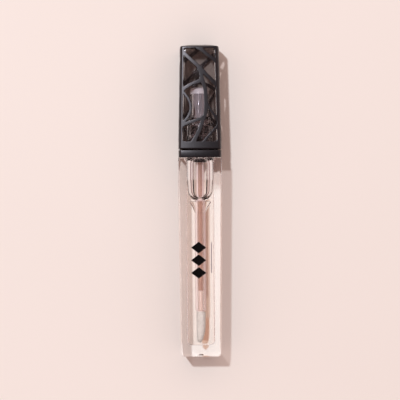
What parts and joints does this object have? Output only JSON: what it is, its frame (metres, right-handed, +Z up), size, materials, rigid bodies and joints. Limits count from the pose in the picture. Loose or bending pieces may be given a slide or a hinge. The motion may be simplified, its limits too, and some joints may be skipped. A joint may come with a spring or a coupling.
{
  "type": "lip gloss tube",
  "caption": "Square clear lip gloss tube with a dark lattice over-cap, threaded neck collar, wiper and a doe-foot wand that lifts out with the cap.",
  "frame": {"origin": "centre of the bottle's flat base", "axes": "+Z up the tube along its axis, -Y out of the front face, which is the one with the printed bar"},
  "size_m": [0.0174, 0.0174, 0.1239],
  "materials": {
    "clear_petg": "clear glossy plastic",
    "gloss": "clear sheer liquid, faint peach",
    "charcoal_gloss": "glossy moulded",
    "natural_ldpe": "natural, slightly waxy",
    "white_foam": "foamed liner",
    "grey_pp": "smooth moulded",
    "frosted_pp": "natural, translucent",
    "natural_pe": "natural",
    "flock_fibre": "short flocked fibre",
    "smoked_san": "smoky clear, glossy",
    "smoked_sleeve": "dark smoky clear, glossy",
    "charcoal_satin": "fine satin"
  },
  "bodies": {
    "bottle_assembly": {"bottle": "clear_petg", "gloss_fill": "gloss", "neck_collar": "charcoal_gloss", "wiper": "natural_ldpe"},
    "seal_ring": {"neck_seal": "white_foam"},
    "cap_and_wand": {"cap_shell": "charcoal_satin", "inner_cap": "smoked_san", "smoked_sleeve": "smoked_sleeve", "wand_plug": "grey_pp", "wand_stem": "frosted_pp", "tip_core": "natural_pe", "tip_flock": "flock_fibre"}
  },
  "joints": [
    {"name": "cap_lift", "type": "slide", "parent": "bottle_assembly", "child": "seal_ring", "axis": [0, 0, 1], "range_m": [0, 0.1]},
    {"name": "cap_turn", "type": "hinge", "parent": "seal_ring", "child": "cap_and_wand", "pos_m": [0, 0, 0.0823], "axis": [0, 0, 1], "range_deg": [0, 540]}
  ]
}
